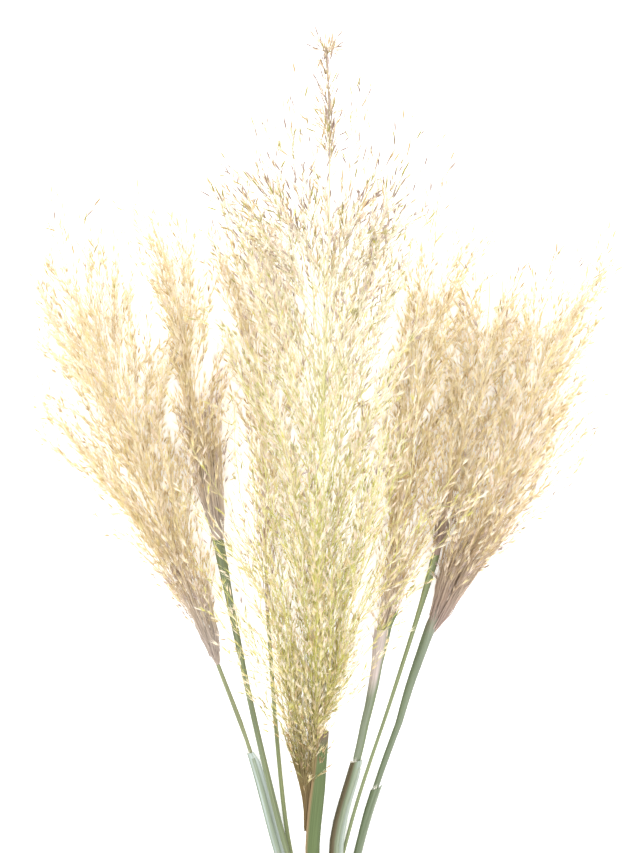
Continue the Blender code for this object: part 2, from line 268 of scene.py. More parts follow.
for stalk in STALKS:
    sections = cross_sections("culm_" + stalk)
    foot, end = sections[0, 0], sections[-1, 0]
    knuckle = [foot + KNUCKLE_AT + step * MM for step, _ in KNUCKLE_SHAPE]
    heights = sorted([*sections[:, 0], *knuckle])
    swell = numpy.interp(heights, knuckle, [size for _, size in KNUCKLE_SHAPE])
    wrapped = cross_sections("lower_sheath_" + stalk)
    free = [SHRUNK_FREE if wrapped[0, 0] - FREE_BELOW < y < wrapped[-1, 0] + FREE_ABOVE else 0
            for y in heights]
    line = [(Vector((x, y, z)), radius * size - less)
            for y, size, less, (x, z, radius) in zip(heights, swell, free,
                                                     [at(sections, y) for y in heights])]
    bpy.ops.object.select_all(action="DESELECT")
    bpy.ops.mesh.primitive_circle_add(vertices=CULM_SIDES, radius=line[0][1],
                                      location=line[0][0], rotation=(math.pi / 2, 0, 0))
    culm = bpy.context.object
    bpy.ops.object.transform_apply(location=True, rotation=True, scale=True)
    bpy.ops.object.mode_set(mode="EDIT")
    bpy.ops.mesh.select_all(action="SELECT")
    for (here, radius), (there, next_radius) in zip(line, line[1:]):
        bpy.ops.mesh.extrude_region_move(TRANSFORM_OT_translate={"value": there - here})
        ratio = next_radius / radius
        bpy.ops.transform.resize(value=(ratio, 1, ratio), center_override=there)
    bpy.ops.mesh.select_all(action="SELECT")
    bpy.ops.mesh.region_to_loop()
    bpy.ops.mesh.fill_holes(sides=0)
    bpy.ops.mesh.select_all(action="SELECT")
    bpy.ops.mesh.normals_make_consistent(inside=False)
    # The cut shows the pith, a little below the hard rim.
    bpy.ops.mesh.select_all(action="DESELECT")
    bpy.ops.mesh.select_mode(type="FACE")
    edit = bmesh.from_edit_mesh(culm.data)
    for face in edit.faces:
        face.select = len(face.verts) == CULM_SIDES and face.calc_center_median().y < foot + MM
    bmesh.update_edit_mesh(culm.data)
    bpy.ops.mesh.inset(thickness=PITH_RIM)
    bpy.ops.transform.translate(value=(0, PITH_DEPTH, 0))
    bpy.ops.mesh.select_mode(type="VERT")
    bpy.ops.object.mode_set(mode="OBJECT")
    skin_map(culm, sections)
    finish_piece(culm, "stem_" + stalk,
                 grass_cane("grass cane " + stalk.replace("_", " "), CULM_TONES[stalk],
                            end - foot),
                 "culm_" + stalk)

# ----------------------------------------------------------------------------------------------
# A leaf sheath is the foot of a leaf, rolled round the stem as one stiff, papery strip with fine
# parallel veins. Its margins are thin and pale and overlap, or stand off a little where the leaf
# has loosened, and it ends in a slanting collar where the blade was stripped off.

SHEATH_THICKNESS = 0.5 * MM
SHEATH_ACROSS = 28
VEIN_SPACING, VEIN_LENGTH = 0.9 * MM, 80 * MM
LAP = math.radians(34)  # how far a closed sheath's margins overlap
ROW_SPACING = 9 * MM  # between the rows of faces along a sheath
LAP_STEP = 0.5 * MM  # how much farther out one margin lies than the other
FLAP_PART = 0.3  # of a sheath's width, which its loose near margin takes up
HAIR_LENGTH = 6 * MM
HAIR_THICKNESS = 0.28 * MM
HAIRS_IN_FRINGE = 46
LOWEST, HIGHEST = 0.4 * MM, 178 * MM  # how low and how high a hair or spikelet may be


def dried_leaf(name, stripes, width, length, tip=None):
    """Dried leaf sheath, a papery strip: fine parallel veins, dull, and thin enough at its pale
    margins that light shines through. The stripes give its colour across, as rows of place and
    colour. The tip's own colour, where there is one, starts at a part of its length and width."""
    material, tree = new_material(name)
    strip = add_node(tree, "ShaderNodeUVMap", uv_map="OFBake")
    spot = add_node(tree, "ShaderNodeSeparateXYZ", {"Vector": strip.outputs["UV"]})
    across = add_node(tree, "ShaderNodeValToRGB", {"Fac": spot.outputs["X"]})
    ramp = across.color_ramp
    while len(ramp.elements) < len(stripes):
        ramp.elements.new(0.5)
    for element, (place, colour) in zip(ramp.elements, stripes):
        element.position, element.color = place, shade(colour)
    colour = across.outputs["Color"]
    if tip:
        high = add_node(tree, "ShaderNodeMapRange", {
            "Value": spot.outputs["Y"], "From Min": tip[1], "From Max": tip[1] + 0.12})
        wide = add_node(tree, "ShaderNodeMapRange", {
            "Value": spot.outputs["X"], "From Min": tip[2], "From Max": tip[2] + 0.12})
        both = add_node(tree, "ShaderNodeMath", {
            0: high.outputs["Result"], 1: wide.outputs["Result"]}, operation="MULTIPLY")
        with_tip = add_node(tree, "ShaderNodeMix", data_type="RGBA", inputs={
            0: both.outputs["Value"], 6: colour, 7: shade(tip[0])})
        colour = with_tip.outputs[2]
    vein_map = add_node(tree, "ShaderNodeMapping", {
        "Vector": strip.outputs["UV"], "Scale": (width / VEIN_SPACING, length / VEIN_LENGTH, 1)})
    vein = add_node(tree, "ShaderNodeTexNoise", {
        "Vector": vein_map.outputs["Vector"], "Scale": 1.0, "Detail": 3.0, "Roughness": 0.65})
    depth = add_node(tree, "ShaderNodeMapRange", {
        "Value": vein.outputs["Fac"], "From Min": 0.34, "From Max": 0.64,
        "To Min": 0.45, "To Max": 0.0})
    veined = add_node(tree, "ShaderNodeMix", data_type="RGBA", blend_type="MULTIPLY", inputs={
        0: depth.outputs["Result"], 6: colour, 7: shade("#8A9068")})
    bump = add_node(tree, "ShaderNodeBump", {
        "Height": vein.outputs["Fac"], "Strength": 0.4, "Distance": 0.3 * MM})
    skin = add_node(tree, "ShaderNodeBsdfPrincipled", {
        "Base Color": veined.outputs[2], "Roughness": 0.6, "IOR": 1.45,
        "Normal": bump.outputs["Normal"]})
    glow = add_node(tree, "ShaderNodeBsdfTranslucent", {"Color": veined.outputs[2]})
    surface = add_node(tree, "ShaderNodeMixShader", {
        0: 0.25, 1: skin.outputs["BSDF"], 2: glow.outputs["BSDF"]})
    add_node(tree, "ShaderNodeOutputMaterial", {"Surface": surface.outputs["Shader"]})
    return material


def roll_leaf(sections, arc, drop, flap=None, along=None):
    """A flat strip rolled round a stalk. The arc gives the start and end angle at a height, the
    drop how much lower the collar is at a place across it, and the flap how far the near
    margin stands off, as rows of height and distance. Along is the number of rows of faces."""
    low, high = sections[0, 0], sections[-1, 0]
    rows = along or max(8, int((high - low) / ROW_SPACING))
    bpy.ops.object.select_all(action="DESELECT")
    bpy.ops.mesh.primitive_grid_add(x_subdivisions=SHEATH_ACROSS, y_subdivisions=rows, size=1)
    leaf = bpy.context.object
    for vertex in leaf.data.vertices:
        across, up = vertex.co.x + 0.5, vertex.co.y + 0.5
        y = low + up * (high - drop(across) - low)
        x, z, radius = at(sections, y)
        start, end = arc(y)
        angle = start + across * (end - start)
        radius += (across - 0.5) * LAP_STEP if flap is None else 0
        away = Vector((math.cos(angle), 0, math.sin(angle))) * radius
        if flap is not None and across < FLAP_PART:
            out = at(flap, y)[0] * ((FLAP_PART - across) / FLAP_PART) ** 1.2
            away += Vector((math.sin(start), 0, -math.cos(start))) * out
            # No part of the flap turns in past the roll, or the stem would cross it.
            away += away.normalized() * max(radius - away.length, 0)
        vertex.co = Vector((x, y, z)) + away
    leaf.data.uv_layers[0].name = "OFBake"
    bpy.ops.object.mode_set(mode="EDIT")
    bpy.ops.mesh.select_all(action="SELECT")
    bpy.ops.mesh.normals_make_consistent(inside=False)
    bpy.ops.object.mode_set(mode="OBJECT")
    thickness = leaf.modifiers.new("thickness", "SOLIDIFY")
    thickness.thickness = SHEATH_THICKNESS
    thickness.offset = 0
    bpy.ops.object.modifier_apply(modifier="thickness")
    return leaf


def turned(directions, rolls):
    """Rotation matrices that turn +Y to each direction, rolled round it."""
    along = directions / numpy.linalg.norm(directions, axis=1, keepdims=True)
    level = numpy.where(numpy.abs(along[:, 2:3]) > 0.95, (1.0, 0, 0), (0, 0, 1.0))
    side = numpy.cross(along, level)
    side /= numpy.linalg.norm(side, axis=1, keepdims=True)
    up = numpy.cross(side, along)
    c, s = numpy.cos(rolls)[:, None], numpy.sin(rolls)[:, None]
    x = side * c + up * s
    return numpy.stack([x, along, numpy.cross(x, along)], axis=2)


def model_arrays(model):
    """The corners, triangles, place along its length and material number of a small model."""
    mesh = model.data
    corners = numpy.array([v.co for v in mesh.vertices])
    faces = numpy.array([p.vertices for p in mesh.polygons])
    kinds = numpy.array([p.material_index for p in mesh.polygons])
    up = corners[:, 1] / corners[:, 1].max()
    bpy.data.objects.remove(model)
    return corners, faces, numpy.clip(up, 0.02, 0.98), kinds


def copies(model, places, directions, rolls, sizes, tones):
    """Copies of a small model's arrays, each set at its place and turned to its direction."""
    corners, faces, up, kinds = model
    count = len(places)
    moved = numpy.einsum("nij,kj->nki", turned(directions, rolls), corners)
    moved = moved * sizes[:, None, None] + places[:, None, :]
    moved[:, :, 2] += numpy.maximum(LOWEST - moved[:, :, 2].min(axis=1), 0)[:, None]
    moved[:, :, 2] -= numpy.maximum(moved[:, :, 2].max(axis=1) - HIGHEST, 0)[:, None]
    steps = numpy.arange(count)[:, None, None] * len(corners)
    return (moved.reshape(-1, 3), (faces[None] + steps).reshape(-1, 3),
            numpy.repeat(tones, len(corners)), numpy.tile(up, count), numpy.tile(kinds, count))


def join_arrays(name, parts):
    """One mesh object out of arrays of corners, triangles, tones, places along and materials."""
    starts = numpy.cumsum([0] + [len(part[0]) for part in parts])
    corners = numpy.concatenate([part[0] for part in parts])
    faces = numpy.concatenate([part[1] + start for part, start in zip(parts, starts)])
    tone, up = (numpy.concatenate([part[k] for part in parts]) for k in (2, 3))
    kinds = numpy.concatenate([part[4] for part in parts])
    mesh = bpy.data.meshes.new(name)
    mesh.from_pydata(corners, [], faces)
    mesh.polygons.foreach_set("material_index", kinds)
    layer = mesh.uv_layers.new(name="OFBake")
    flat = faces.reshape(-1)
    layer.data.foreach_set("uv", numpy.column_stack([tone[flat], up[flat]]).reshape(-1))
    piece = bpy.data.objects.new(name, mesh)
    bpy.context.scene.collection.objects.link(piece)
    return piece


LOWER_SHEATHS = {
    # colours across; the lap's start in degrees; the collar's slant in millimetres; how many
    # millimetres the near margin stands off, at parts of the sheath's length
    "left_front": (((0, "#CFDAD9"), (0.19, "#BECBC6"), (0.24, "#6E7F5C"), (0.34, "#66764F"),
                    (0.85, "#A9B6A4")),
                   62, 6, ((0, 3.5), (0.35, 6.5), (0.85, 7.0), (0.97, 5.0), (1, 2.0))),
    "left_back": (((0, "#B4BC9C"), (0.06, "#76835F"), (0.94, "#6F7C56")), 120, 6, None),
    "back": (((0, "#B4BC96"), (0.06, "#7A865C"), (0.94, "#748054")), 70, 6, None),
    "centre": (((0, "#B5BC97"), (0.06, "#75835A"), (0.94, "#75835A")), 100, 9, None),
    "right_inner": (((0, "#CBD3CB"), (0.1, "#AAB7AC"), (0.16, "#8A977C"), (0.2, "#6C6148"),
                     (0.36, "#5F5641"), (0.5, "#7C8468"), (0.9, "#A3AE98")),
                    40, 8, ((0, 3.0), (0.4, 7.0), (0.75, 7.5), (0.95, 4.0), (1, 1.2))),
    "right_back": (((0, "#B4BC98"), (0.06, "#7D8861"), (0.94, "#778158")), 60, 5, None),
    "right_front": (((0, "#B9C3B4"), (0.08, "#8B9881"), (0.3, "#6A7758"), (0.9, "#8B967E")),
                    25, 9, ((0, 0.5), (0.7, 1.5), (0.95, 4.0), (1, 5.0))),
}
# Three lower sheaths go on past their CAD nodes' ends, along their stems.
RISES = {"left_front": 8 * MM, "right_inner": 22 * MM, "right_front": 22 * MM}

bpy.ops.object.select_all(action="DESELECT")
bpy.ops.mesh.primitive_cone_add(vertices=3, radius1=HAIR_THICKNESS / 2, radius2=0,
                                depth=HAIR_LENGTH, location=(0, HAIR_LENGTH / 2, 0),
                                rotation=(-math.pi / 2, 0, 0))
bpy.ops.object.transform_apply(location=True, rotation=True, scale=True)
collar_hair = model_arrays(bpy.context.object)
chance = numpy.random.default_rng(11)

# Plant hair, clear and white: it catches the light and shows pale against the stem.
plant_hair, tree = new_material("white plant hair")
hair_spot = add_node(tree, "ShaderNodeUVMap", uv_map="OFBake")
hair_parts = add_node(tree, "ShaderNodeSeparateXYZ", {"Vector": hair_spot.outputs["UV"]})
hair_colour = add_node(tree, "ShaderNodeValToRGB", {"Fac": hair_parts.outputs["X"]})
hair_colour.color_ramp.elements[0].color = shade("#EFE9D8")
hair_colour.color_ramp.elements[1].color = shade("#FFFDF6")
hair_skin = add_node(tree, "ShaderNodeBsdfPrincipled", {
    "Base Color": hair_colour.outputs["Color"], "Roughness": 0.4, "IOR": 1.55})
add_node(tree, "ShaderNodeOutputMaterial", {"Surface": hair_skin.outputs["BSDF"]})

for stalk, (stripes, lap_at, slant, standing) in LOWER_SHEATHS.items():
    node = "lower_sheath_" + stalk
    sections = cross_sections(node)
    if stalk in RISES:
        stem, top = cross_sections("culm_" + stalk), sections[-1, 0] + RISES[stalk]
        loose = sections[-1, 3] - at(stem, sections[-1, 0])[2]
        x, z, radius = at(stem, top)
        sections = numpy.vstack([sections, (top, x, z, radius + loose)])
    low, high = sections[0, 0], sections[-1, 0]
    lap = math.radians(lap_at)
    flap = standing and numpy.array([(low + part * (high - low), out * MM)
                                     for part, out in standing])
    slant *= MM
    leaf = roll_leaf(sections, lambda y: (lap, lap + math.tau + LAP), lambda across: slant * across,
                     flap)
    width = math.tau * sections[:, 3].mean()
    finish_piece(leaf, "sheath_" + stalk,
                 dried_leaf("dried leaf sheath " + stalk.replace("_", " "), stripes, width,
                            high - low),
                 node)
    # The collar's fringe of short silky hairs stands where the blade was stripped off.
    count = HAIRS_IN_FRINGE
    turns = lap + chance.uniform(0.1, 1.0, count) * math.tau
    x, z, radius = at(sections, high - 0.6 * slant)
    rims = numpy.column_stack([x + radius * numpy.cos(turns),
                               high - slant * (turns - lap) / math.tau - 0.5 * MM,
                               z + radius * numpy.sin(turns)])
    ways = numpy.column_stack([0.45 * numpy.cos(turns), numpy.ones(count),
                               0.45 * numpy.sin(turns)])
    ways += chance.normal(0, 0.14, (count, 3))
    fringe = join_arrays("ligule_" + stalk, [copies(
        collar_hair, rims, ways, chance.uniform(0, math.tau, count),
        chance.uniform(0.6, 1.15, count), chance.uniform(0.1, 0.9, count))])
    finish_piece(fringe, "ligule_" + stalk, plant_hair, node)

# ----------------------------------------------------------------------------------------------
# Three stalks keep their flag sheath, the topmost leaf's. It is rolled round the stem below, then
# opens along one side into a narrow scoop that the foot of the plume comes out of. Its open end
# is drawn out to a point, browned to purple where it dried first.

FLAG_SHEATHS = {
    # colours across; at parts of its length, the start and end of its roll in degrees; the end's
    # own colour, and the parts of its length and width that the colour starts at
    "centre": (((0, "#86947E"), (0.15, "#839278"), (0.45, "#6C7D50"), (0.9, "#6C7D50"),
                (0.97, "#A58A66")),
               ((0, 196, 520), (0.3, 223, 502), (0.6, 250, 488), (0.72, 258, 480),
                (0.88, 268, 470), (1, 280, 450)),
               ("#8A7266", 0.88, 0.2)),
    "right_inner": (((0, "#76874C"), (0.25, "#7E8D62"), (0.45, "#939C88"), (0.7, "#8C967E"),
                     (1, "#7E8A6C")),
                    ((0, -60, 270), (0.62, -60, 270), (0.75, -60, 262), (0.86, -50, 245),
                     (1, -20, 225)),
                    ("#DCCDCB", 0.62, 0.3)),
    "right_front": (((0, "#A9AFA0"), (0.2, "#929C8A"), (0.5, "#7F8B72"), (0.8, "#6F7C5C"),
                     (1, "#7E8A6C")),
                    ((0, -60, 270), (0.66, -60, 270), (0.8, -20, 268), (0.9, 30, 262), (1, 90, 250)),
                    ("#A9988F", 0.88, 0.0)),
}
# How two sheaths are opened by what they hold: rows of height, how far the sheath moves to the
# right, and its radius there, all in millimetres.
MOUTHS = {"centre": ((-269.5, 0, 6.2), (-249.5, 0, 6.6), (-231.5, 0, 7.0), (-213.5, 0, 7.6),
                     (-195.5, 0, 7.85), (-177.5, 0, 7.5), (-159.5, 0, 7.6), (-141.5, 0, 7.2)),
          "right_inner": ((-123.5, 0.8, 3.9), (-105.5, 0.7, 4.5), (-87.5, 0, 4.7),
                          (-69.5, -1.0, 6.6), (-60, -1.2, 7.6), (-51.5, -1.4, 7.6))}
# The right inner one's near margin stands up beyond its mouth: millimetres up, right and deep,
# and more radius. The rest of its collar ends lower.
MARGIN = (14, 6.8, 0, -0.6)
COLLAR_DROP = 17 * MM
FOOT_ROOM, FOOT_LENGTH = 0.45 * MM, 70 * MM  # a foot is narrower, inside the lower sheath
FLAG_ROWS = 26
for stalk, (stripes, arcs, browned) in FLAG_SHEATHS.items():
    node = "flag_sheath_" + stalk
    sections = cross_sections(node)
    drop = lambda across: 0
    if stalk != "centre":
        up_foot = (sections[:, 0] - sections[0, 0]) / FOOT_LENGTH
        sections[:, 3] -= FOOT_ROOM * numpy.clip(1.6 - 1.6 * up_foot, 0, 1)
    if stalk in MOUTHS:
        mouth = numpy.array(MOUTHS[stalk]) * MM
        inside = sections[:, 0] >= mouth[0, 0] - MM
        sections[inside, 1] += numpy.interp(sections[inside, 0], mouth[:, 0], mouth[:, 1])
        sections[inside, 3] = numpy.interp(sections[inside, 0], mouth[:, 0], mouth[:, 2])
    if stalk == "right_inner":
        sections = numpy.vstack([sections, sections[-1] + numpy.array(MARGIN) * MM])
        drop = lambda across: COLLAR_DROP * min(max((across - 0.24) / 0.2, 0), 1)
    low, high = sections[0, 0], sections[-1, 0]
    arcs = numpy.array([(low + part * (high - low), *numpy.radians(turns))
                        for part, *turns in arcs])
    leaf = roll_leaf(sections, lambda y: at(arcs, y), drop, along=FLAG_ROWS)
    finish_piece(leaf, "flag_" + stalk,
                 dried_leaf("dried flag sheath " + stalk.replace("_", " "), stripes,
                            math.tau * sections[:, 3].mean(), high - low, browned),
                 node)

# ----------------------------------------------------------------------------------------------
# A plume is a flower head: a tapering central stalk with arching branches, each with finer
# branchlets that carry the spikelets. A spikelet is two papery scales round a pointed floret, on
# a thin stalk of its own, with long silky hairs. All of it has grown as one piece.

STALK_PART, SCALE_PART, SILK_PART = 0, 1, 2
WIDEST = 252 * MM  # no branch goes farther out than this
CULM_JOIN = 20 * MM  # of the culm's end gives the central stalk its direction
GOLDEN_ANGLE = math.radians(137.5)
BRANCH_POINTS, HAIR_POINTS, RACHIS_POINTS = 10, 6, 44
LOWEST_BRANCH, LOWEST_TWIG, LOWEST_HAIR = 3.4 * MM, 2.8 * MM, 1.4 * MM  # over the card
SPIKELET_LENGTH = 14 * MM  # by which a spikelet is kept out of the card


def add_spindle(base, tip, width, belly, part):
    """A three-sided spindle added in edit mode: a cone to the tip, its foot drawn to a point
    where it has a belly, the part of its length at which it is widest."""
    base, axis = Vector(base), Vector(tip) - Vector(base)
    bpy.ops.mesh.select_all(action="DESELECT")
    bpy.ops.mesh.primitive_cone_add(
        vertices=3, radius1=width / 2, radius2=0, depth=axis.length * (1 - belly),
        location=base + axis * (belly + 1) / 2, rotation=axis.to_track_quat("Z", "Y").to_euler())
    edit = bmesh.from_edit_mesh(bpy.context.edit_object.data)
    foot = base + axis * belly
    for face in edit.faces:
        if face.select:
            face.material_index = part
        face.select = face.select and (face.calc_center_median() - foot).length < width * 0.2
    bmesh.update_edit_mesh(bpy.context.edit_object.data)
    if belly > 0:
        bpy.ops.mesh.extrude_region_move(TRANSFORM_OT_translate={"value": -axis * belly})
        bpy.ops.mesh.merge(type="CENTER")


def model_spikelet(spindles):
    """The arrays of a spikelet that is modelled in millimetres, out of its spindles."""
    bpy.ops.object.select_all(action="DESELECT")
    bpy.ops.object.add(type="MESH")
    model = bpy.context.object
    for _ in (STALK_PART, SCALE_PART, SILK_PART):
        model.data.materials.append(None)
    bpy.ops.object.mode_set(mode="EDIT")
    bpy.ops.mesh.select_mode(type="FACE")
    for spindle in spindles:
        add_spindle(*spindle)
    bpy.ops.mesh.select_all(action="SELECT")
    bpy.ops.mesh.quads_convert_to_tris()
    bpy.ops.mesh.normals_make_consistent(inside=False)
    bpy.ops.mesh.select_mode(type="VERT")
    bpy.ops.object.mode_set(mode="OBJECT")
    model.scale = (MM, MM, MM)
    bpy.ops.object.transform_apply(scale=True)
    return model_arrays(model)


# Each spindle: foot, tip, width, belly and part. Silks are drawn thicker than real ones, so that
# they show.
CLOSED, OPEN, DOWNY, BARE = range(4)
SPIKELETS = {
    # Ripe and closed: slim, with its point out and a hair standing a little off it.
    CLOSED: (((0, 0, 0), (0, 4.5, 0), 0.34, 0, STALK_PART),
             ((0.1, 3.4, 0), (0.55, 12.6, 0.2), 0.85, 0.34, SCALE_PART),
             ((-0.1, 3.4, 0), (-0.5, 11.6, -0.3), 0.75, 0.3, SCALE_PART),
             ((0, 9.0, 0), (0.15, 16.0, 0.1), 0.26, 0, SILK_PART),
             ((0.1, 4.5, 0.1), (1.3, 14.0, 0.8), 0.3, 0, SILK_PART)),
    # Open: its scales spread and its hairs stand out round the floret.
    OPEN: (((0, 0, 0), (0, 4, 0), 0.34, 0, STALK_PART),
           ((0.1, 3.2, 0), (1.6, 11.6, 0.3), 0.9, 0.36, SCALE_PART),
           ((-0.1, 3.2, 0), (-1.3, 11.0, -0.4), 0.8, 0.36, SCALE_PART),
           ((0, 5.0, 0), (0.1, 13.0, 0.1), 0.6, 0.3, SCALE_PART),
           ((0.1, 5, 0.2), (1.6, 14.6, 2.2), 0.42, 0, SILK_PART),
           ((-0.1, 5, 0.1), (-2.2, 14.0, 1.0), 0.42, 0, SILK_PART)),
    # Downy, past ripe: most of what shows is its tuft of silk.
    DOWNY: (((0, 0, 0), (0, 4, 0), 0.34, 0, STALK_PART),
            ((0, 3.2, 0), (0.3, 11.4, 0.2), 0.9, 0.36, SCALE_PART),
            *(((0.1 * x, 4.5, 0.1 * z), (x, y, z), 0.55, 0, SILK_PART) for x, y, z in (
                (2.0, 14, 0.6), (-1.9, 14.5, 0.4), (0.5, 15, 2.0), (-0.2, 15.5, -1.6)))),
    # Bare, as at the top of a plume: still shut, with one fine point and no tuft of silk.
    BARE: (((0, 0, 0), (0, 5, 0), 0.32, 0, STALK_PART),
           ((0.1, 3.4, 0), (0.3, 17.5, 0.2), 1.35, 0.4, SCALE_PART),
           ((-0.15, 3.8, 0), (-0.5, 14.5, -0.3), 1.0, 0.35, SCALE_PART),
           ((0, 13.0, 0), (0.4, 20.0, 0.1), 0.28, 0, SILK_PART)),
}
spikelet_models = {kind: model_spikelet(spindles) for kind, spindles in SPIKELETS.items()}

SCALE_COLOURS = ("#FCF8EE", "#FAF3E2", "#F8EBDF", "#F2E6BE", "#E4E288", "#BCB874", "#DCC698",
                 "#B8986E", "#C6B6B0", "#A58B84")
SILK_COLOURS = ("#FEFCF6", "#FCF8EA", "#FBF3EC", "#FAF1D4", "#F7F4D0", "#ECE7CE", "#F3E6C6",
                "#DECBAE", "#E8DDD8", "#CAB8B0")
WHITE, IVORY, PINK, STRAW, LIME, OLIVE, TAN, BROWN, MAUVE, PURPLE = range(10)


def by_tone(tree, colours):
    """A colour picked along a row of colours by the first number of a piece's own map, and both
    numbers of that map."""
    own = add_node(tree, "ShaderNodeUVMap", uv_map="OFBake")
    parts = add_node(tree, "ShaderNodeSeparateXYZ", {"Vector": own.outputs["UV"]})
    pick = add_node(tree, "ShaderNodeValToRGB", {"Fac": parts.outputs["X"]})
    ramp = pick.color_ramp
    while len(ramp.elements) < len(colours):
        ramp.elements.new(0.5)
    for k, colour in enumerate(colours):
        ramp.elements[k].position = (k + 0.5) / len(colours)
        ramp.elements[k].color = shade(colour)
    return pick.outputs["Color"], parts


def plant_surface(tree, colour, roughness, glow_share):
    """A thin dry plant surface that lets part of the light through."""
    skin = add_node(tree, "ShaderNodeBsdfPrincipled", {
        "Base Color": colour, "Roughness": roughness, "IOR": 1.45, "Specular IOR Level": 0.3})
    glow = add_node(tree, "ShaderNodeBsdfTranslucent", {"Color": colour})
    mixed = add_node(tree, "ShaderNodeMixShader", {
        0: glow_share, 1: skin.outputs["BSDF"], 2: glow.outputs["BSDF"]})
    add_node(tree, "ShaderNodeOutputMaterial", {"Surface": mixed.outputs["Shader"]})


# Papery scales, dried: dull, thin enough to glow, each of its own colour from cream and straw to
# olive and brown, and darker at the foot.
papery_scale, tree = new_material("papery scale")
tone, parts = by_tone(tree, SCALE_COLOURS)
foot_shade = add_node(tree, "ShaderNodeMapRange", {
    "Value": parts.outputs["Y"], "From Min": 0.2, "From Max": 0.6,
    "To Min": 0.22, "To Max": 0.0})
scale_colour = add_node(tree, "ShaderNodeMix", data_type="RGBA", blend_type="MULTIPLY", inputs={
    0: foot_shade.outputs["Result"], 6: tone, 7: shade("#C9B070")})
plant_surface(tree, scale_colour.outputs[2], 0.55, 0.42)

# Silky plume hair: white and fine, it lets much light through and has a soft shine.
silky_hair, tree = new_material("silky plume hair")
tone, parts = by_tone(tree, SILK_COLOURS)
plant_surface(tree, tone, 0.35, 0.5)


def branch_material(name, one, other):
    """Grass branches, thin and smooth: their colour changes from the plume's foot to its tip, and
    each lies somewhere between two such rows of colours."""
    material, tree = new_material(name)
    first, parts = by_tone(tree, one)
    second, parts = by_tone(tree, other)
    between = add_node(tree, "ShaderNodeMix", data_type="RGBA", inputs={
        0: parts.outputs["Y"], 6: first, 7: second})
    plant_surface(tree, between.outputs[2], 0.5, 0.2)
    return material


def rods(points, radii, heights, lots, sides=3):
    """Closed tapering rods along lines of points, as arrays. Their map holds the height of each
    point in the plume and each rod's own lot."""
    count, steps = points.shape[:2]
    along = numpy.gradient(points, axis=1)
    along /= numpy.linalg.norm(along, axis=2, keepdims=True)
    side = numpy.cross(along, (0.0, 0.0, 1.0))
    side /= numpy.maximum(numpy.linalg.norm(side, axis=2, keepdims=True), 1e-9)
    up = numpy.cross(side, along)
    turns = numpy.arange(sides) * math.tau / sides
    ring = points[:, :, None, :] + radii[:, :, None, None] * (
        side[:, :, None, :] * numpy.cos(turns)[:, None]
        + up[:, :, None, :] * numpy.sin(turns)[:, None])
    faces = []
    for k in range(steps - 1):
        for s in range(sides):
            a, b = k * sides + s, k * sides + (s + 1) % sides
            faces += [(a, b, b + sides), (a, b + sides, a + sides)]
    last = (steps - 1) * sides
    for s in range(1, sides - 1):
        faces += [(0, s + 1, s), (last, last + s, last + s + 1)]
    faces = numpy.array(faces)[None] + numpy.arange(count)[:, None, None] * steps * sides
    return (ring.reshape(-1, 3), faces.reshape(-1, 3),
            numpy.repeat(numpy.clip(heights, 0.01, 0.99).reshape(-1), sides),
            numpy.repeat(lots, steps * sides),
            numpy.full(len(faces) * faces.shape[1], STALK_PART))


def pick_tones(chance, heights, weights):
    """A tone for each height: a colour drawn by the weights there, a little off its middle."""
    levels = sorted(weights)
    shares = numpy.array([[numpy.interp(h, levels, [weights[level].get(n, 0) for level in levels])
                           for n in range(len(SCALE_COLOURS))] for h in heights])
    edges = shares.cumsum(axis=1)
    drawn = (chance.random(len(heights))[:, None] * edges[:, -1:] > edges).sum(axis=1)
    return (drawn + 0.5 + chance.uniform(-0.38, 0.38, len(heights))) / len(SCALE_COLOURS)


def on_line(lines, which, where):
    """Points of lines at parts of their length, and the lines' directions there."""
    place = where * (lines.shape[1] - 1)
    k = numpy.minimum(place.astype(int), lines.shape[1] - 2)
    a, b = lines[which, k], lines[which, k + 1]
    way = b - a
    return a + way * (place - k)[:, None], way / numpy.linalg.norm(way, axis=1, keepdims=True)


def off_by(ways, angles, turns):
    """Directions turned off by an angle, each to its own side."""
    return (ways * numpy.cos(angles)[:, None]
            + turned(ways, turns)[:, :, 0] * numpy.sin(angles)[:, None])


def above_card(places, ways, lengths):
    """Directions eased up where their ends would go into the card."""
    ways = ways.copy()
    ways[:, 2] = numpy.maximum(ways[:, 2], (2.0 * MM - places[:, 2]) / lengths)
    return ways / numpy.linalg.norm(ways, axis=1, keepdims=True)


